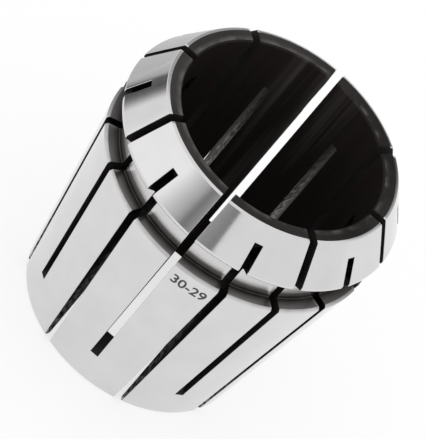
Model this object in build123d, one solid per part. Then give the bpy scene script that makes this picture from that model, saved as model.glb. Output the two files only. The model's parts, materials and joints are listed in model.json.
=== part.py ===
"""A spring collet for a collet chuck: one turned, slotted, hardened and ground steel sleeve.

The collet stands on its small rear end, with the origin at the centre of the rear face, +Z along
its axis towards the nose, and one of the slots that start at the nose facing -Y.
"""
from build123d import *
from math import radians, sqrt, tan
import os

os.makedirs("parts", exist_ok=True)

# Driving dimensions, in millimetres and degrees
bore_diameter = 30.0
rear_wall = 1.05  # steel left between the bore and the long taper at the rear face
overall_length = 40.6  # rear face to nose face
taper_half_angle = 8.0  # the long taper that seats in the chuck
nose_half_angle = 30.0  # the nose cone that the nut presses on
nose_cone_length = 5.6  # nose face to the rim, along the axis
rim_width = 0.5  # land at the widest diameter, between the nose cone and the groove
rim_step = 0.3  # how far the rim stands out past the large end of the long taper
groove_width = 5.0  # extraction groove, which the nut's ring snaps into
groove_depth = 2.4  # below the rim
groove_front_angle = 30.0  # how far the groove's front flank leans back from square to the axis
groove_corner_chamfer = 0.4  # left by the corner of the grooving tool
shoulder_chamfer = 0.4  # at the large end of the long taper
nose_edge_chamfer = 0.4  # between the nose face and the nose cone
mouth_chamfer = 0.2  # at the front end of the bore
bore_rear_chamfer = 0.2
rear_edge_chamfer = 0.35
rim_edge_break = 0.12  # on the rim's rear edge

slots_per_end = 8
slot_width = 1.2
front_slot_bridge = 5.3  # steel left at the rear end by the slots that start at the nose
rear_slot_bridge = 2.15  # steel left at the nose by the slots that start at the rear end
saw_diameter = 80.0
saw_overtravel = 5.0  # how far the slitting saw dips inside the bore
front_slot_angle = -90.0  # where the first slot from the nose is, about +Z from +X

# Radii and heights that follow from them
bore_radius = bore_diameter / 2
shoulder_z = overall_length - nose_cone_length - rim_width - groove_width
rear_radius = bore_radius + rear_wall
shoulder_radius = rear_radius + shoulder_z * tan(radians(taper_half_angle))
rim_radius = shoulder_radius + rim_step
groove_radius = rim_radius - groove_depth
rim_rear_z = shoulder_z + groove_width
rim_front_z = rim_rear_z + rim_width
groove_front_z = rim_rear_z - groove_depth * tan(radians(groove_front_angle))
nose_radius = rim_radius - nose_cone_length * tan(radians(nose_half_angle))


def turned_sleeve():
    """The sleeve as it leaves the lathe and the grinder, before it is slotted."""
    section = make_face(
        Plane.XZ
        * Polyline(
            (bore_radius, 0),
            (rear_radius, 0),
            (shoulder_radius, shoulder_z),
            (groove_radius, shoulder_z),
            (groove_radius, groove_front_z),
            (rim_radius, rim_rear_z),
            (rim_radius, rim_front_z),
            (nose_radius, overall_length),
            (bore_radius, overall_length),
            close=True,
        )
    )

    def corners(*places):
        """The corners of the section at the given radii and heights."""
        return [section.vertices().sort_by_distance((radius, 0, z))[0] for radius, z in places]

    groove_corners = corners((groove_radius, shoulder_z), (groove_radius, groove_front_z))
    section = chamfer(groove_corners, groove_corner_chamfer)
    section = chamfer(corners((shoulder_radius, shoulder_z)), shoulder_chamfer)
    section = chamfer(corners((rim_radius, rim_rear_z)), rim_edge_break)
    section = chamfer(corners((nose_radius, overall_length)), nose_edge_chamfer)
    section = chamfer(corners((bore_radius, overall_length)), mouth_chamfer)
    section = chamfer(corners((bore_radius, 0)), bore_rear_chamfer)
    section = chamfer(corners((rear_radius, 0)), rear_edge_chamfer)
    return revolve(section, Axis.Z)


def saw_pass(end_radius, end_z, way_out):
    """What the slitting saw removes on one pass, in the plane through the axis and +X.

    The saw's rim meets the outer surface at end_radius and end_z, where the slot stops. From
    there the saw runs out of the sleeve along the axis, up for a way_out of 1 or down for -1.
    """
    saw_radius = saw_diameter / 2
    saw_centre_radius = bore_radius - saw_overtravel + saw_radius
    saw_centre_z = end_z + way_out * sqrt(saw_radius**2 - (saw_centre_radius - end_radius) ** 2)
    travel = overall_length + saw_radius
    path_centre_z = saw_centre_z + way_out * travel / 2
    saw_at_the_stop = Pos(saw_centre_radius, saw_centre_z) * Circle(saw_radius)
    path = Pos(saw_centre_radius, path_centre_z) * Rectangle(2 * saw_radius, travel)
    return extrude(Plane.XZ * (saw_at_the_stop + path), slot_width / 2, both=True)


def slotted_collet():
    """The sleeve with slots sawn in turn from the nose and from the rear end."""
    front_end_radius = rear_radius + front_slot_bridge * tan(radians(taper_half_angle))
    rear_end_radius = nose_radius + rear_slot_bridge * tan(radians(nose_half_angle))
    from_the_nose = saw_pass(front_end_radius, front_slot_bridge, 1)
    from_the_rear = saw_pass(rear_end_radius, overall_length - rear_slot_bridge, -1)
    pitch = 360 / slots_per_end
    collet = turned_sleeve()
    for slot in range(slots_per_end):
        angle = front_slot_angle + slot * pitch
        collet -= Rot(Z=angle) * from_the_nose
        collet -= Rot(Z=angle + pitch / 2) * from_the_rear
    return collet


collet_body = slotted_collet()
collet_body.label = "collet_body"
export_step(collet_body, "parts/collet_body.step")
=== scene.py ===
import json
from math import asin, cos, pi, radians, sin, sqrt, tan

import bmesh
import bpy
from mathutils import Matrix, Quaternion, Vector


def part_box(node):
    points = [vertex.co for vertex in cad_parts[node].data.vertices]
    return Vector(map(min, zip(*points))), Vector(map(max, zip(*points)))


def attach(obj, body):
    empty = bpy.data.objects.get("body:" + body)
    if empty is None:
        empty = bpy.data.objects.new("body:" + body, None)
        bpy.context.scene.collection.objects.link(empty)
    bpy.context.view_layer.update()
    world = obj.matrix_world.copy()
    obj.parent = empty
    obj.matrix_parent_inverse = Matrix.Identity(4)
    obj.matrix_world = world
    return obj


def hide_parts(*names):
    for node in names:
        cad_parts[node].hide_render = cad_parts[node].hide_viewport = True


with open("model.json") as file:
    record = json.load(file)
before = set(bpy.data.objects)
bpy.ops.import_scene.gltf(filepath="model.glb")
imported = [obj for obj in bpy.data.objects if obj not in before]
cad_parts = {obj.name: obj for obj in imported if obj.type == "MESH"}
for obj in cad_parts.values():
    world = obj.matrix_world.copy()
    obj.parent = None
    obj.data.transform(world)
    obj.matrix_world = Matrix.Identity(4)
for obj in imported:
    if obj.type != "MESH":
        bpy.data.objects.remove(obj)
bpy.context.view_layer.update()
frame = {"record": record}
scene = bpy.context.scene
mm = 0.001

# The collet itself: one sleeve of spring steel, turned, hardened and ground, with its bore in the middle,
# a long taper that seats in the chuck, a groove for the nut's ring and a nose cone that the nut presses on.
# Slots sawn in turn from the nose and from the rear end let it squeeze shut on a cutter's shank.
shank_bore = next(mount for mount in frame["record"]["mounts"] if mount["name"] == "bore")

collet_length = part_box("collet_body")[1].z
bore_radius = shank_bore["dims"]["r_mm"] * mm
rear_wall = 1.05 * mm  # between the bore and the long taper, at the rear face
taper_angle = radians(8)
nose_angle = radians(30)
nose_cone_length = 5.6 * mm
rim_width = 0.5 * mm
rim_step = 0.3 * mm  # how far the rim stands out past the long taper
groove_width = 5.0 * mm
groove_depth = 2.4 * mm  # below the rim
rim_back_angle = radians(30)  # how far the rim's rear side leans back
shoulder_chamfer = 0.4 * mm
mouth_chamfer = 0.2 * mm
nose_edge_width = 0.45 * mm  # the bright ring round the nose face
nose_edge_fall = 0.06 * mm  # how far that ring slopes down outwards
rear_edge_chamfer = 0.35 * mm
bore_rear_chamfer = 0.2 * mm
bore_edge_round = 0.1 * mm
outer_edge_round = 0.12 * mm
groove_corner_round = 0.16 * mm
groove_root_round = 0.4 * mm
nose_edge_round = 0.3 * mm

rim_front = collet_length - nose_cone_length
rim_rear = rim_front - rim_width
shoulder = rim_rear - groove_width
rear_radius = bore_radius + rear_wall
shoulder_radius = rear_radius + shoulder * tan(taper_angle)
rim_radius = shoulder_radius + rim_step
groove_radius = rim_radius - groove_depth
rim_root = rim_rear - groove_depth * tan(rim_back_angle)
nose_radius = rim_radius - nose_cone_length * tan(nose_angle)

slots_per_end = 8
slot_pitch = 2 * pi / slots_per_end
first_front_slot = radians(-90)
slot_width = 1.2 * mm
slot_burr_round = 0.06 * mm
front_slot_bridge = 5.3 * mm  # steel left below the slots from the nose
rear_slot_bridge = 2.15 * mm  # steel left above the slots from the rear
rear_slot_end = collet_length - rear_slot_bridge
saw_radius = 40 * mm
saw_overtravel = 5 * mm  # how far the saw dips inside the bore
saw_centre_radius = bore_radius - saw_overtravel + saw_radius
weld_distance = 0.001 * mm

FINISHES = ("ground", "groove bottom", "groove flank", "turned", "end face", "bored", "sawn", "slot scale")


def saw_centre_height(end_radius, end_height, way_out):
    """How high the saw's centre stands when its rim meets the outer surface at the slot's end."""
    return end_height + way_out * sqrt(saw_radius**2 - (saw_centre_radius - end_radius) ** 2)


def saw_height_in_bore(centre_height, way_out):
    """Where the slot ends on the wall of the bore."""
    return centre_height - way_out * sqrt(saw_radius**2 - (saw_centre_radius - bore_radius) ** 2)


front_end_radius = rear_radius + front_slot_bridge * tan(taper_angle)
rear_end_radius = nose_radius + rear_slot_bridge * tan(nose_angle)
front_saw_centre = saw_centre_height(front_end_radius, front_slot_bridge, 1)
rear_saw_centre = saw_centre_height(rear_end_radius, rear_slot_end, -1)


def section_corners():
    """The sleeve's section, from the rear face up the outside and back down the bore.

    Each corner is its radius, its height, how much it is rounded, the finish of its rounding and
    the finish of the surface that follows it. The ends of the slots are corners with no rounding.
    """
    rear_edge_radius = rear_radius + rear_edge_chamfer * tan(taper_angle)
    shoulder_edge_radius = shoulder_radius - shoulder_chamfer * tan(taper_angle)
    shoulder_edge = shoulder - shoulder_chamfer
    return [
        (bore_radius + bore_rear_chamfer, 0, bore_edge_round, "turned", "end face"),
        (rear_radius - rear_edge_chamfer, 0, outer_edge_round, "ground", "ground"),
        (rear_edge_radius, rear_edge_chamfer, outer_edge_round, "ground", "ground"),
        (front_end_radius, front_slot_bridge, 0, "ground", "ground"),
        (shoulder_edge_radius, shoulder_edge, outer_edge_round, "groove flank", "groove flank"),
        (shoulder_radius - shoulder_chamfer, shoulder, outer_edge_round, "groove flank", "groove flank"),
        (groove_radius, shoulder, groove_corner_round, "groove flank", "groove bottom"),
        (groove_radius, rim_root, groove_root_round, "groove bottom", "turned"),
        (rim_radius, rim_rear, outer_edge_round, "turned", "ground"),
        (rim_radius, rim_front, outer_edge_round, "ground", "ground"),
        (rear_end_radius, rear_slot_end, 0, "ground", "ground"),
        (nose_radius, collet_length - nose_edge_fall, outer_edge_round, "ground", "ground"),
        (nose_radius - nose_edge_width, collet_length, nose_edge_round, "ground", "end face"),
        (bore_radius + mouth_chamfer, collet_length, bore_edge_round, "bored", "bored"),
        (bore_radius, collet_length - mouth_chamfer, bore_edge_round, "bored", "bored"),
        (bore_radius, saw_height_in_bore(rear_saw_centre, -1), 0, "bored", "bored"),
        (bore_radius, saw_height_in_bore(front_saw_centre, 1), 0, "bored", "bored"),
        (bore_radius, bore_rear_chamfer, bore_edge_round, "turned", "turned"),
    ]


def section_rows():
    """The section's points with each corner rounded, each with the finish of the strip that follows it.

    The second list holds the numbers of the points where the slots end.
    """
    corners = section_corners()
    places = [Vector(corner[:2]) for corner in corners]
    rows = []
    slot_ends = []
    for number, (_, _, rounding, edge_finish, finish) in enumerate(corners):
        corner = places[number]
        if rounding == 0:
            slot_ends.append(len(rows))
            rows.append((corner, finish))
            continue
        backward = (places[number - 1] - corner).normalized()
        forward = (places[(number + 1) % len(places)] - corner).normalized()
        half_angle = backward.angle(forward) / 2
        centre = corner + (backward + forward).normalized() * rounding / sin(half_angle)
        reach = rounding / tan(half_angle)
        start = corner + backward * reach - centre
        end = corner + forward * reach - centre
        steps = 6 if rounding == groove_root_round else 3
        for step in range(steps + 1):
            last = step == steps
            arc_point = centre + start.slerp(end, step / steps) * start.length
            rows.append((arc_point, finish if last else edge_finish))
    return rows, slot_ends


class SleeveSector:
    """One of the sleeve's like sectors, with a slot from each end and the webs beside them."""

    web_columns = 14
    floor_steps = 6

    def __init__(self):
        self.rows, slot_ends = section_rows()
        self.mesh = bmesh.new()
        self.finish = self.mesh.faces.layers.int.new("finish")
        self.columns = []
        for place, _ in self.rows:
            self.columns.append([self.vertex_at(place, angle) for angle in self.column_angles(place.x)])
        left = self.web_columns // 2
        middle = left + 1 + self.web_columns
        front_outside, rear_outside, rear_in_bore, front_in_bore = slot_ends
        front_span = self.rows_between(front_outside, front_in_bore)
        rear_span = self.rows_between(rear_in_bore, rear_outside)
        self.skin({left: front_span, middle: rear_span})
        self.slot(0, left, front_span, front_saw_centre, "slot scale")
        self.slot(slot_pitch / 2, middle, rear_span, rear_saw_centre, "sawn")

    def vertex_at(self, place, angle):
        return self.mesh.verts.new((place.x * cos(angle), place.x * sin(angle), place.y))

    def column_angles(self, radius):
        """Angles of the columns at a radius, with one column on each rounded edge of each slot."""
        edge = asin((slot_width / 2 + slot_burr_round) / radius)
        quarter = slot_pitch / 4
        half_web = self.web_columns // 2
        spans = [
            (-quarter, -edge, half_web),
            (edge, 2 * quarter - edge, self.web_columns),
            (2 * quarter + edge, 3 * quarter, half_web),
        ]
        return [
            start + (end - start) * step / steps
            for start, end, steps in spans
            for step in range(steps + 1)
        ]

    def rows_between(self, first, last):
        """Numbers of the rows from one slot end to the other, going round the section."""
        count = len(self.rows)
        return [(first + step) % count for step in range((last - first) % count + 1)]

    def face(self, vertices, finish):
        made = self.mesh.faces.new(vertices)
        made[self.finish] = FINISHES.index(finish)
        made.smooth = True

    def skin(self, openings):
        """The turned surfaces, left open where a slot breaks through them."""
        count = len(self.rows)
        for row, (_, finish) in enumerate(self.rows):
            above = (row + 1) % count
            for column in range(len(self.columns[row]) - 1):
                span = openings.get(column, [])
                if row in span[:-1]:
                    continue
                here, there = self.columns[row], self.columns[above]
                self.face((here[column], here[column + 1], there[column + 1], there[column]), finish)

    def depth_direction(self, row):
        """The way into the steel at a row, square to the section's outline."""
        before = self.rows[row - 1][0]
        after = self.rows[(row + 1) % len(self.rows)][0]
        here = self.rows[row][0]
        along = (here - before).normalized() + (after - here).normalized()
        return Vector((-along.y, along.x)).normalized()

    def slot_vertex(self, turn, place, offset):
        """A point of a slot at a radius and a height, to one side of the slot's middle."""
        return self.mesh.verts.new(turn @ Vector((sqrt(place.x**2 - offset**2), offset, place.y)))

    def slot_edge(self, turn, side, column, span):
        """One rounded edge of a slot, and its points: for each row a line from the surface to the wall."""
        lines = []
        for row in span:
            place = self.rows[row][0]
            inward = self.depth_direction(row)
            line = [self.columns[row][column]]
            for share in (0.5, 1.0):
                sunk = slot_burr_round * (1 - cos(share * pi / 2))
                offset = slot_width / 2 + slot_burr_round * (1 - sin(share * pi / 2))
                line.append(self.slot_vertex(turn, place + inward * sunk, side * offset))
            lines.append(line)
        for step in range(len(span) - 1):
            finish = self.rows[span[step]][1]
            for layer in (0, 1):
                low_outer, low_inner = lines[step][layer], lines[step][layer + 1]
                high_outer, high_inner = lines[step + 1][layer], lines[step + 1][layer + 1]
                if side > 0:
                    self.face((low_inner, low_outer, high_outer, high_inner), finish)
                else:
                    self.face((low_outer, low_inner, high_inner, high_outer), finish)
        return lines

    def slot_floor(self, turn, saw_centre_z, left, right, span):
        """Pairs of points along the arc that the saw's rim leaves between two walls."""
        saw_centre = Vector((saw_centre_radius, saw_centre_z))
        start = self.rows[span[-1]][0] - saw_centre
        end = self.rows[span[0]][0] - saw_centre
        pairs = [(left[-1][2], right[-1][2])]
        for step in range(1, self.floor_steps):
            place = saw_centre + start.slerp(end, step / self.floor_steps) * saw_radius
            pairs.append([self.slot_vertex(turn, place, side * slot_width / 2) for side in (-1, 1)])
        pairs.append((left[0][2], right[0][2]))
        return pairs

    def slot(self, angle, column, span, saw_centre_z, wall_finish):
        """A slot's rounded edges, its two flat walls, and the floor where the saw stopped."""
        turn = Matrix.Rotation(angle, 3, "Z")
        left = self.slot_edge(turn, -1, column, span)
        right = self.slot_edge(turn, 1, column + 1, span)
        floor = self.slot_floor(turn, saw_centre_z, left, right, span)
        left_wall = [line[2] for line in left] + [pair[0] for pair in floor[1:-1]]
        right_wall = [line[2] for line in right] + [pair[1] for pair in floor[1:-1]]
        self.face(left_wall[::-1], wall_finish)
        self.face(right_wall, wall_finish)
        for (near_left, near_right), (far_left, far_right) in zip(floor, floor[1:]):
            self.face((far_right, near_right, near_left, far_left), "slot scale")
        for first, second in ((left[0], right[0]), (right[-1], left[-1])):
            self.face((first[0], second[0], second[1], second[2], first[2], first[1]), "slot scale")


def socket(tree, name, kind, way="INPUT"):
    return tree.interface.new_socket(name, in_out=way, socket_type=kind)


def arithmetic(tree, operation, first, second=0):
    """What a sum of one or two values comes to, each of them a socket or a plain number."""
    made = tree.nodes.new("ShaderNodeMath")
    made.operation = operation
    for value, place in zip((first, second), made.inputs):
        if isinstance(value, (int, float)):
            place.default_value = value
        else:
            tree.links.new(value, place)
    return made.outputs[0]


def ring_of_sectors(materials):
    """The tree that sets the sectors round the axis, welds them and gives each finish its material."""
    tree = bpy.data.node_groups.new("ring_of_sectors", "GeometryNodeTree")
    socket(tree, "Geometry", "NodeSocketGeometry")
    socket(tree, "Sectors", "NodeSocketInt")
    socket(tree, "First slot angle", "NodeSocketFloat")
    socket(tree, "Weld distance", "NodeSocketFloat")
    socket(tree, "Geometry", "NodeSocketGeometry", "OUTPUT")
    node, link = tree.nodes.new, tree.links.new
    given = node("NodeGroupInput")

    points = node("GeometryNodePoints")
    link(given.outputs["Sectors"], points.inputs["Count"])
    pitch = arithmetic(tree, "DIVIDE", 2 * pi, given.outputs["Sectors"])
    index = node("GeometryNodeInputIndex")
    from_first = arithmetic(tree, "MULTIPLY", index.outputs[0], pitch)
    turn = node("FunctionNodeAxisAngleToRotation")
    turn.inputs["Axis"].default_value = (0, 0, 1)
    link(arithmetic(tree, "ADD", from_first, given.outputs["First slot angle"]), turn.inputs["Angle"])
    placed = node("GeometryNodeInstanceOnPoints")
    link(points.outputs[0], placed.inputs["Points"])
    link(given.outputs["Geometry"], placed.inputs["Instance"])
    link(turn.outputs[0], placed.inputs["Rotation"])
    realized = node("GeometryNodeRealizeInstances")
    link(placed.outputs[0], realized.inputs[0])
    welded = node("GeometryNodeMergeByDistance")
    link(realized.outputs[0], welded.inputs["Geometry"])
    link(given.outputs["Weld distance"], welded.inputs["Distance"])

    finish = node("GeometryNodeInputNamedAttribute")
    finish.data_type = "INT"
    finish.inputs["Name"].default_value = "finish"
    last = welded
    for number, name in enumerate(FINISHES):
        chosen = node("FunctionNodeCompare")
        chosen.data_type = "INT"
        chosen.operation = "EQUAL"
        whole = [s for s in chosen.inputs if s.type == "INT"]
        link(finish.outputs["Attribute"], whole[0])
        whole[1].default_value = number
        coat = node("GeometryNodeSetMaterial")
        coat.inputs["Material"].default_value = materials[name]
        link(last.outputs[0], coat.inputs["Geometry"])
        link(chosen.outputs[0], coat.inputs["Selection"])
        last = coat
    made = node("NodeGroupOutput")
    link(last.outputs[0], made.inputs[0])
    return tree


def plain_node_material(name):
    """A new node material, with its tree and its one shader."""
    material = bpy.data.materials.new(name)
    material.use_nodes = True
    return material, material.node_tree, material.node_tree.nodes["Principled BSDF"]


def noise(tree, spots_per_metre, detail):
    """A random pattern with about so many spots to a metre along each of the three axes."""
    place = tree.nodes.new("ShaderNodeTexCoord")
    mapping = tree.nodes.new("ShaderNodeMapping")
    mapping.inputs["Scale"].default_value = spots_per_metre
    tree.links.new(place.outputs["Object"], mapping.inputs["Vector"])
    made = tree.nodes.new("ShaderNodeTexNoise")
    made.inputs["Scale"].default_value = 1.0
    made.inputs["Detail"].default_value = detail
    tree.links.new(mapping.outputs["Vector"], made.inputs["Vector"])
    return made.outputs["Fac"]


def ranged(tree, value, low, high):
    """A texture's 0.3 to 0.7, where most of a noise lies, spread over a range."""
    made = tree.nodes.new("ShaderNodeMapRange")
    made.inputs["From Min"].default_value = 0.3
    made.inputs["From Max"].default_value = 0.7
    made.inputs["To Min"].default_value = low
    made.inputs["To Max"].default_value = high
    tree.links.new(value, made.inputs["Value"])
    return made.outputs["Result"]


def rising(tree, value, start, end, top=1.0):
    """A share that goes up from 0 to a top while a value goes from a start to an end."""
    made = tree.nodes.new("ShaderNodeMapRange")
    made.inputs["From Min"].default_value = start
    made.inputs["From Max"].default_value = end
    made.inputs["To Max"].default_value = top
    tree.links.new(value, made.inputs["Value"])
    return made.outputs["Result"]


def mixed(tree, share, colour, other):
    """A colour, plain or a socket's, that goes over to another plain one as the share goes to 1."""
    made = tree.nodes.new("ShaderNodeMix")
    made.data_type = "RGBA"
    tree.links.new(share, made.inputs["Factor"])
    first, second = [s for s in made.inputs if s.type == "RGBA"]
    if isinstance(colour, tuple):
        first.default_value = (*colour, 1)
    else:
        tree.links.new(colour, first)
    second.default_value = (*other, 1)
    return next(s for s in made.outputs if s.type == "RGBA")


def sideways_backwards_and_up(tree):
    """A point's place along the collet's own three axes."""
    place = tree.nodes.new("ShaderNodeTexCoord")
    parts = tree.nodes.new("ShaderNodeSeparateXYZ")
    tree.links.new(place.outputs["Object"], parts.inputs[0])
    return parts.outputs


def straight_distance(tree, across, along):
    """How far it is across and along together, in a straight line."""
    across_squared = arithmetic(tree, "MULTIPLY", across, across)
    along_squared = arithmetic(tree, "MULTIPLY", along, along)
    return arithmetic(tree, "SQRT", arithmetic(tree, "ADD", across_squared, along_squared))


def radius_and_height(tree):
    """How far a point is from the collet's axis, and how high above the rear face."""
    sideways, backwards, height = sideways_backwards_and_up(tree)
    return straight_distance(tree, sideways, backwards), height


def distance_from_ring(tree, ring_radius, ring_height):
    """How far a point is from a circle about the axis, such as the corner of a groove."""
    radius, height = radius_and_height(tree)
    out = arithmetic(tree, "SUBTRACT", radius, ring_radius)
    up = arithmetic(tree, "SUBTRACT", height, ring_height)
    return straight_distance(tree, out, up)


def from_left_to_right(tree, left, right):
    """A value that goes over from one side of the collet to the other."""
    sideways, _, _ = sideways_backwards_and_up(tree)
    made = tree.nodes.new("ShaderNodeMapRange")
    made.inputs["From Min"].default_value = -bore_radius
    made.inputs["From Max"].default_value = bore_radius
    made.inputs["To Min"].default_value = left
    made.inputs["To Max"].default_value = right
    tree.links.new(sideways, made.inputs["Value"])
    return made.outputs["Result"]


def shaded(tree, share, stops):
    """A run of colours along a value from 0 to 1, given as places and colours."""
    made = tree.nodes.new("ShaderNodeValToRGB")
    tree.links.new(share, made.inputs["Fac"])
    ramp = made.color_ramp
    while len(ramp.elements) < len(stops):
        ramp.elements.new(1.0)
    for element, (place, colour) in zip(ramp.elements, stops):
        element.position = place
        element.color = (*colour, 1)
    return made.outputs["Color"]


def bumped(tree, height, depth, shader):
    made = tree.nodes.new("ShaderNodeBump")
    made.inputs["Strength"].default_value = 1.0
    made.inputs["Distance"].default_value = depth
    tree.links.new(height, made.inputs["Height"])
    tree.links.new(made.outputs["Normal"], shader.inputs["Normal"])


def ground_steel():
    """Bright steel with the grinding wheel's fine lines running round it."""
    dull, bright = (0.665, 0.655, 0.66), (0.70, 0.69, 0.695)
    line_depth = 0.0006 * mm
    material, tree, shader = plain_node_material("ground_steel")
    lines = noise(tree, (60, 60, 9000), 3)
    clouds = noise(tree, (220, 220, 220), 2)
    colour = mixed(tree, ranged(tree, clouds, 0, 1), dull, bright)
    tree.links.new(colour, shader.inputs["Base Color"])
    tree.links.new(ranged(tree, lines, 0.08, 0.14), shader.inputs["Roughness"])
    bumped(tree, lines, line_depth, shader)
    shader.inputs["Metallic"].default_value = 1.0
    return material


def scaled_and_shaded_steel(name, scale, painted_shade_behind, roughness):
    """Ground steel, painted darker into the groove's corner as painted shade over a little dark scale.

    The colours run from the corner outwards. Painted shade darkens more of the steel towards the back.
    """
    corner_scale_and_shade_reach = 2 * mm
    painted_shade_behind_from, painted_shade_behind_full_from = -8 * mm, 1 * mm
    painted_shade_behind_colour = (0.010, 0.009, 0.008)
    line_depth = 0.001 * mm
    material, tree, shader = plain_node_material(name)
    lines = noise(tree, (80, 80, 7000), 3)
    patches = noise(tree, (700, 700, 700), 3)
    # Painted shade: the steel is painted darker the nearer it is to the groove's corner, with a little dark
    # scale there too.
    from_corner = distance_from_ring(tree, groove_radius, shoulder)
    share = arithmetic(tree, "DIVIDE", from_corner, corner_scale_and_shade_reach)
    ragged = arithmetic(tree, "ADD", share, ranged(tree, patches, -0.03, 0.03))
    # Painted shade: the steel is painted darker still towards the back of the collet.
    _, backwards, _ = sideways_backwards_and_up(tree)
    painted_shade_behind_share = rising(tree, backwards, painted_shade_behind_from, painted_shade_behind_full_from, painted_shade_behind)
    colour = mixed(tree, painted_shade_behind_share, shaded(tree, ragged, scale), painted_shade_behind_colour)
    tree.links.new(colour, shader.inputs["Base Color"])
    tree.links.new(ranged(tree, lines, *roughness), shader.inputs["Roughness"])
    bumped(tree, lines, line_depth, shader)
    shader.inputs["Metallic"].default_value = 1.0
    return material


def groove_bottom_steel():
    """The groove's bottom, bright under the rim and painted dark towards its corner with the flank, as
    painted shade over a little dark scale.
    """
    # The stops run from painted shade in the corner to the ground steel's own grey.
    scale = [
        (0.00, (0.05, 0.047, 0.043)),
        (0.12, (0.09, 0.085, 0.08)),
        (0.30, (0.28, 0.27, 0.265)),
        (0.54, (0.30, 0.29, 0.285)),
        (0.68, (0.66, 0.65, 0.65)),
    ]
    # The 0.25 is how far painted shade darkens the bottom towards the back.
    return scaled_and_shaded_steel("groove_bottom_steel", scale, 0.25, (0.2, 0.28))


def groove_flank_steel():
    """The groove's flank over the long taper, painted darker the nearer it is to the corner, as painted
    shade over a little dark scale.
    """
    # The stops run from painted shade in the corner to the ground steel's own grey.
    scale = [
        (0.00, (0.05, 0.046, 0.042)),
        (0.15, (0.10, 0.095, 0.09)),
        (0.45, (0.24, 0.23, 0.225)),
        (0.85, (0.40, 0.39, 0.39)),
        (1.00, (0.66, 0.65, 0.65)),
    ]
    # The 0.86 is how far painted shade darkens the flank towards the back.
    return scaled_and_shaded_steel("groove_flank_steel", scale, 0.86, (0.34, 0.44))


def turned_steel():
    """Darker steel as the lathe left it, under the rim and on the small rear chamfer."""
    dark, grey = (0.07, 0.065, 0.06), (0.13, 0.12, 0.115)
    line_depth = 0.002 * mm
    material, tree, shader = plain_node_material("turned_steel")
    lines = noise(tree, (80, 80, 7000), 3)
    colour = mixed(tree, ranged(tree, lines, 0, 1), dark, grey)
    tree.links.new(colour, shader.inputs["Base Color"])
    tree.links.new(ranged(tree, lines, 0.45, 0.6), shader.inputs["Roughness"])
    bumped(tree, lines, line_depth, shader)
    shader.inputs["Metallic"].default_value = 1.0
    return material


def end_face_steel():
    """The dull dark grey that hardening leaves on the flat ends, lighter in a ring round the bore. Painted
    light makes the left side lighter than the right.
    """
    black_scale, grey_scale = (0.009, 0.008, 0.007), (0.040, 0.036, 0.033)
    lighter_ring_colour = (0.095, 0.088, 0.083)
    lighter_ring_from, lighter_ring_to = bore_radius + 0.45 * mm, bore_radius + 1.0 * mm
    pit_depth = 0.004 * mm
    material, tree, shader = plain_node_material("end_face_steel")
    clouds = noise(tree, (900, 900, 900), 4)
    patches = noise(tree, (130, 130, 130), 2)
    ring_patches = noise(tree, (420, 420, 420), 5)
    # Painted light: the left side is painted lighter than the right, in the grey and in the ring round the
    # bore.
    side = from_left_to_right(tree, 0.4, -0.4)
    patches_and_lit_left = arithmetic(tree, "ADD", ranged(tree, patches, 0.2, 0.8), side)
    scale = mixed(tree, patches_and_lit_left, black_scale, grey_scale)
    radius, _ = radius_and_height(tree)
    inwards = rising(tree, radius, lighter_ring_to, lighter_ring_from)
    ring_patches_and_lit_left = arithmetic(tree, "ADD", ranged(tree, ring_patches, -0.4, 1.3), side)
    lightened = arithmetic(tree, "MULTIPLY", inwards, ring_patches_and_lit_left)
    colour = mixed(tree, lightened, scale, lighter_ring_colour)
    tree.links.new(colour, shader.inputs["Base Color"])
    tree.links.new(ranged(tree, clouds, 0.5, 0.7), shader.inputs["Roughness"])
    bumped(tree, clouds, pit_depth, shader)
    shader.inputs["Metallic"].default_value = 0.0
    shader.inputs["Specular IOR Level"].default_value = 0.13
    return material


def bored_steel():
    """The near-black wall of the bore, faintly streaked lighter along its length at the front and the back.
    """
    darkest, dark = (0.015, 0.012, 0.011), (0.020, 0.0165, 0.0152)
    streak_colour = (0.065, 0.058, 0.054)
    streaked_to, clean_from = 0.28, 0.45
    material, tree, shader = plain_node_material("bored_steel")
    lines = noise(tree, (2500, 2500, 25), 3)
    streaks = noise(tree, (650, 650, 22), 2)
    aside = arithmetic(tree, "ABSOLUTE", from_left_to_right(tree, -1.0, 1.0))
    front_and_back = rising(tree, aside, clean_from, streaked_to)
    lightened = arithmetic(tree, "MULTIPLY", rising(tree, streaks, 0.48, 0.72), front_and_back)
    scale = mixed(tree, ranged(tree, lines, 0, 1), darkest, dark)
    colour = mixed(tree, lightened, scale, streak_colour)
    tree.links.new(colour, shader.inputs["Base Color"])
    tree.links.new(ranged(tree, lines, 0.35, 0.55), shader.inputs["Roughness"])
    shader.inputs["Metallic"].default_value = 0.0
    shader.inputs["Specular IOR Level"].default_value = 0.06
    return material


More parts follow.
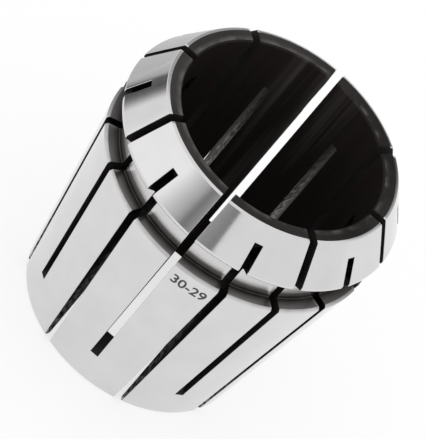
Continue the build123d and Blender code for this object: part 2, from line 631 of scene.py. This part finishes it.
def sawn_steel():
    """The mottled walls of the slots from the rear, darker outside and towards the nose with dark scale and
    painted shade together.
    """
    dark_grain, bright_grain = (0.03, 0.028, 0.026), (0.65, 0.63, 0.61)
    scale_and_shade_colour = (0.03, 0.027, 0.025)
    fullest = 0.9
    nose_scale_and_shade_from, nose_scale_and_shade_to = shoulder - 9 * mm, shoulder + 3 * mm
    outer_scale_and_shade_from, outer_scale_and_shade_to = bore_radius + 1.3 * mm, bore_radius + 2.5 * mm
    ragged_by = 2 * mm
    material, tree, shader = plain_node_material("sawn_steel")
    grain = noise(tree, (1500, 1500, 1300), 4)
    radius, height = radius_and_height(tree)
    ragged_height = arithmetic(tree, "ADD", height, ranged(tree, grain, -ragged_by, ragged_by))
    # Dark scale and painted shade: the walls are painted darker outwards and towards the nose.
    scale_and_shade_towards_nose = rising(tree, ragged_height, nose_scale_and_shade_from, nose_scale_and_shade_to, fullest)
    outwards = rising(tree, radius, outer_scale_and_shade_from, outer_scale_and_shade_to, fullest)
    scale = arithmetic(tree, "MAXIMUM", scale_and_shade_towards_nose, outwards)
    metal = mixed(tree, ranged(tree, grain, -0.5, 1.5), dark_grain, bright_grain)
    tree.links.new(mixed(tree, scale, metal, scale_and_shade_colour), shader.inputs["Base Color"])
    tree.links.new(ranged(tree, grain, 0.35, 0.5), shader.inputs["Roughness"])
    shader.inputs["Metallic"].default_value = 1.0
    shader.inputs["Specular Tint"].default_value = (0.5, 0.5, 0.5, 1)
    return material


def slot_scale_steel():
    """The near-black scale in the slots from the nose, and where the saw stopped in every slot."""
    darkest, dark = (0.010, 0.009, 0.008), (0.020, 0.018, 0.017)
    material, tree, shader = plain_node_material("slot_scale_steel")
    grain = noise(tree, (1500, 1500, 1500), 3)
    colour = mixed(tree, ranged(tree, grain, 0, 1), darkest, dark)
    tree.links.new(colour, shader.inputs["Base Color"])
    tree.links.new(ranged(tree, grain, 0.5, 0.65), shader.inputs["Roughness"])
    shader.inputs["Specular IOR Level"].default_value = 0.15
    return material


def linked(name, mesh):
    made = bpy.data.objects.new(name, mesh)
    scene.collection.objects.link(made)
    return made


def finished(piece):
    """The piece with its modifiers worked into a plain mesh."""
    evaluated = piece.evaluated_get(bpy.context.evaluated_depsgraph_get())
    plain = bpy.data.meshes.new_from_object(evaluated)
    plain.name = piece.name
    piece.modifiers.clear()
    piece.data = plain
    return piece


def make_collet():
    sector = SleeveSector()
    mesh = bpy.data.meshes.new("collet")
    sector.mesh.to_mesh(mesh)
    sector.mesh.free()
    sharp_from = radians(50)
    mesh.set_sharp_from_angle(angle=sharp_from)
    coats = {
        "ground": ground_steel(),
        "groove bottom": groove_bottom_steel(),
        "groove flank": groove_flank_steel(),
        "turned": turned_steel(),
        "end face": end_face_steel(),
        "bored": bored_steel(),
        "sawn": sawn_steel(),
        "slot scale": slot_scale_steel(),
    }
    mesh.materials.append(coats["ground"])
    collet = linked("collet", mesh)
    ring = collet.modifiers.new("ring", "NODES")
    ring.node_group = ring_of_sectors(coats)
    sizes = {
        "Sectors": slots_per_end,
        "First slot angle": first_front_slot,
        "Weld distance": weld_distance,
    }
    for item in ring.node_group.interface.items_tree:
        if item.name in sizes:
            ring[item.identifier] = sizes[item.name]
    flat = collet.modifiers.new("flat_faces", "WEIGHTED_NORMAL")
    flat.keep_sharp = True
    return finished(collet)


collet = make_collet()
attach(collet, "root")
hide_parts("collet_body")

# The size mark: the largest and the smallest shank that the collet takes, in plain figures that read
# with the nose upwards. They are etched dark into the long taper between two slots, with hardly any depth.
mark_azimuth = radians(-78.8)
mark_height = 26.9 * mm
figure_size = 2.3 * mm
figure_boldness = 0.04 * mm
figure_proud = 0.012 * mm
figure_depth = 0.022 * mm
largest_shank = round(2 * bore_radius / mm)
smallest_shank = largest_shank - 1


def flat_figures(words):
    """The figures as flat faces about the origin, facing up."""
    text = bpy.data.curves.new("figures", "FONT")
    text.body = words
    text.size = figure_size
    text.offset = figure_boldness
    text.align_x = "CENTER"
    text.align_y = "CENTER"
    written = linked("figures", text)
    flat = bpy.data.meshes.new_from_object(written.evaluated_get(bpy.context.evaluated_depsgraph_get()))
    bpy.data.objects.remove(written)
    return flat


def laid_on_taper(flat):
    """Bends the flat figures round the long taper, cut finely enough to follow it."""
    mesh = bmesh.new()
    mesh.from_mesh(flat)
    bmesh.ops.remove_doubles(mesh, verts=mesh.verts, dist=weld_distance)
    reach = max(vertex.co.x for vertex in mesh.verts)
    cuts = 12
    for cut in range(1 - cuts, cuts):
        everything = mesh.verts[:] + mesh.edges[:] + mesh.faces[:]
        place = (reach * cut / cuts, 0, 0)
        bmesh.ops.bisect_plane(mesh, geom=everything, plane_co=place, plane_no=(1, 0, 0))
    middle_radius = rear_radius + mark_height * tan(taper_angle)
    for vertex in mesh.verts:
        height = mark_height + vertex.co.y * cos(taper_angle)
        radius = rear_radius + height * tan(taper_angle) + figure_proud
        angle = mark_azimuth + vertex.co.x / middle_radius
        vertex.co = (radius * cos(angle), radius * sin(angle), height)
    mesh.to_mesh(flat)
    mesh.free()


def etched_steel():
    """Steel that the etching acid left dull and dark grey."""
    dark, grey = (0.045, 0.043, 0.042), (0.10, 0.097, 0.095)
    material, tree, shader = plain_node_material("etched_steel")
    pits = noise(tree, (2500, 2500, 2500), 3)
    colour = mixed(tree, ranged(tree, pits, 0, 1), dark, grey)
    tree.links.new(colour, shader.inputs["Base Color"])
    tree.links.new(ranged(tree, pits, 0.5, 0.7), shader.inputs["Roughness"])
    shader.inputs["Specular IOR Level"].default_value = 0.3
    return material


figures = flat_figures(f"{largest_shank}-{smallest_shank}")
laid_on_taper(figures)
figures.materials.append(etched_steel())
size_mark = linked("size_mark", figures)
etching = size_mark.modifiers.new("etching", "SOLIDIFY")
etching.thickness = figure_depth
etching.offset = -1
size_mark = finished(size_mark)
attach(size_mark, "root")

# The studio: a plain pale floor that the collet stands on, under an even pale sky. The floor is white to
# the camera and in the steel, and still takes the collet's soft shadow. Only the part of it under the bore
# is dark in the steel.
floor_reach = 3.0
floor_colour = (0.8, 0.8, 0.8, 1)
thin_coat_colour = (0.3, 0.3, 0.3, 1)
floor_glow = 0.72
white = (1, 1, 1, 1)
sky_light = 0.96


def bare_paint(name):
    """A new material that has no nodes yet, with its tree."""
    paint = bpy.data.materials.new(name)
    paint.use_nodes = True
    paint.node_tree.nodes.clear()
    return paint, paint.node_tree


def pale_floor_paint():
    """Plain paint that glows white where it is seen, under a thin coat that takes the shadow."""
    paint, tree = bare_paint("floor_paint")
    node, link = tree.nodes.new, tree.links.new
    plain_coat = node("ShaderNodeBsdfDiffuse")
    plain_coat.inputs["Color"].default_value = floor_colour
    thin_coat = node("ShaderNodeBsdfDiffuse")
    thin_coat.inputs["Color"].default_value = thin_coat_colour
    glow = node("ShaderNodeEmission")
    glow.inputs["Color"].default_value = white
    glow.inputs["Strength"].default_value = floor_glow
    white_coat = node("ShaderNodeAddShader")
    link(thin_coat.outputs[0], white_coat.inputs[0])
    link(glow.outputs[0], white_coat.inputs[1])
    path = node("ShaderNodeLightPath")
    from_axis, _ = radius_and_height(tree)
    beside_bore = arithmetic(tree, "GREATER_THAN", from_axis, bore_radius)
    in_steel = arithmetic(tree, "MULTIPLY", path.outputs["Is Glossy Ray"], beside_bore)
    by_camera_or_steel = arithmetic(tree, "MAXIMUM", path.outputs["Is Camera Ray"], in_steel)
    seen = arithmetic(tree, "MAXIMUM", by_camera_or_steel, path.outputs["Is Transmission Ray"])
    coat = node("ShaderNodeMixShader")
    link(seen, coat.inputs[0])
    link(plain_coat.outputs[0], coat.inputs[1])
    link(white_coat.outputs[0], coat.inputs[2])
    surface = node("ShaderNodeOutputMaterial")
    link(coat.outputs[0], surface.inputs["Surface"])
    return paint


floor_mesh = bpy.data.meshes.new("floor")
floor_corners = [
    (-floor_reach, -floor_reach, 0),
    (floor_reach, -floor_reach, 0),
    (floor_reach, floor_reach, 0),
    (-floor_reach, floor_reach, 0),
]
floor_mesh.from_pydata(floor_corners, [], [(0, 1, 2, 3)])
floor_mesh.materials.append(pale_floor_paint())
floor = linked("floor", floor_mesh)


def studio_board(name, near_edge, far_edge, stops):
    """A board bent round the collet that shows only in its steel.

    Each edge is given as its distance from the collet's axis and its height, and each stop as an azimuth
    in degrees and how bright the board is there.
    """
    mesh = bpy.data.meshes.new(name)
    corners = []
    for azimuth, _ in stops:
        turn = radians(azimuth)
        for distance, height in (near_edge, far_edge):
            corners.append((distance * cos(turn), distance * sin(turn), height))
    faces = [(2 * i, 2 * i + 2, 2 * i + 3, 2 * i + 1) for i in range(len(stops) - 1)]
    mesh.from_pydata(corners, [], faces)
    brightness = mesh.attributes.new("brightness", "FLOAT", "POINT")
    for number, (_, level) in enumerate(stops):
        brightness.data[2 * number].value = level
        brightness.data[2 * number + 1].value = level
    board = linked(name, mesh)
    board.visible_camera = False
    board.visible_diffuse = False
    board.visible_transmission = False
    board.visible_shadow = False
    paint, tree = bare_paint(name + "_paint")
    painted = tree.nodes.new("ShaderNodeAttribute")
    painted.attribute_name = "brightness"
    glow = tree.nodes.new("ShaderNodeEmission")
    tree.links.new(painted.outputs["Fac"], glow.inputs["Strength"])
    surface = tree.nodes.new("ShaderNodeOutputMaterial")
    tree.links.new(glow.outputs[0], surface.inputs["Surface"])
    mesh.materials.append(paint)


# Boards round the collet, seen only in the steel: one that is bright on the left and dark in front, a low
# dark one on the left towards the back, a dark one high up behind and a pale grey one on the floor behind.
far_off = 600 * mm
near_by = 220 * mm
off_the_floor = 0.5 * mm

studio_board("front_board", (far_off, 0), (far_off, 400 * mm), [
    (-176, 0.98), (-166, 1.15), (-126, 1.15), (-118, 0.86), (-106, 0.49), (-102.5, 0.24),
    (-100.5, 0.23), (-97, 0.34), (-90, 0.42), (-82, 0.34), (-78, 0.26), (-75.2, 0.20),
])
studio_board("side_board", (near_by, 0), (near_by, 50 * mm), [
    (140, 0.62), (152.5, 0.60), (156, 0.36), (159, 0.13), (162.5, 0.10), (166, 0.15),
    (168.5, 0.25), (171.5, 0.55), (175, 0.95),
])
studio_board("high_board", (far_off, 280 * mm), (far_off, 660 * mm), [
    (66, 0.96), (74, 0.50), (80, 0.08), (96, 0.08), (101, 0.42), (118, 0.50), (130, 0.96),
])
studio_board("floor_board", (45 * mm, off_the_floor), (215 * mm, off_the_floor), [
    (92, 0.95), (104, 0.72), (112, 0.66), (152, 0.62), (158, 0.80),
])


def pale_sky():
    """A sky that is white to the camera and hardly less bright as the light on the collet."""
    sky = bpy.data.worlds.new("studio")
    sky.use_nodes = True
    sky.node_tree.nodes.clear()
    node, link = sky.node_tree.nodes.new, sky.node_tree.links.new
    light = node("ShaderNodeBackground")
    light.inputs["Color"].default_value = white
    light.inputs["Strength"].default_value = sky_light
    backdrop = node("ShaderNodeBackground")
    backdrop.inputs["Color"].default_value = white
    backdrop.inputs["Strength"].default_value = 1.0
    path = node("ShaderNodeLightPath")
    seen = node("ShaderNodeMixShader")
    link(path.outputs["Is Camera Ray"], seen.inputs[0])
    link(light.outputs[0], seen.inputs[1])
    link(backdrop.outputs[0], seen.inputs[2])
    surface = node("ShaderNodeOutputWorld")
    link(seen.outputs[0], surface.inputs["Surface"])
    return sky


scene.world = pale_sky()

# The camera: a long lens about a metre off that looks down on the nose and is rolled to one side, as the
# photograph was taken. Its angles were fitted to the nose's ellipse and to the ends of the slots.
view_azimuth = radians(1.28)
view_elevation = radians(40.757)
camera_roll = radians(40.333)
aim = Vector((0.13 * mm, 0.01 * mm, 21.744 * mm))
aim_distance = 980.6 * mm

camera_data = bpy.data.cameras.new("camera")
camera_data.lens = 614.72
camera_data.sensor_width = 36
camera_data.clip_start = 0.05
camera_data.clip_end = 20
camera = linked("camera", camera_data)
back = Vector((
    sin(view_azimuth) * cos(view_elevation),
    -cos(view_azimuth) * cos(view_elevation),
    sin(view_elevation),
))
camera.location = aim + back * aim_distance
camera.rotation_mode = "QUATERNION"
camera.rotation_quaternion = back.to_track_quat("Z", "Y") @ Quaternion((0, 0, 1), camera_roll)
scene.camera = camera
scene.view_settings.view_transform = "Standard"
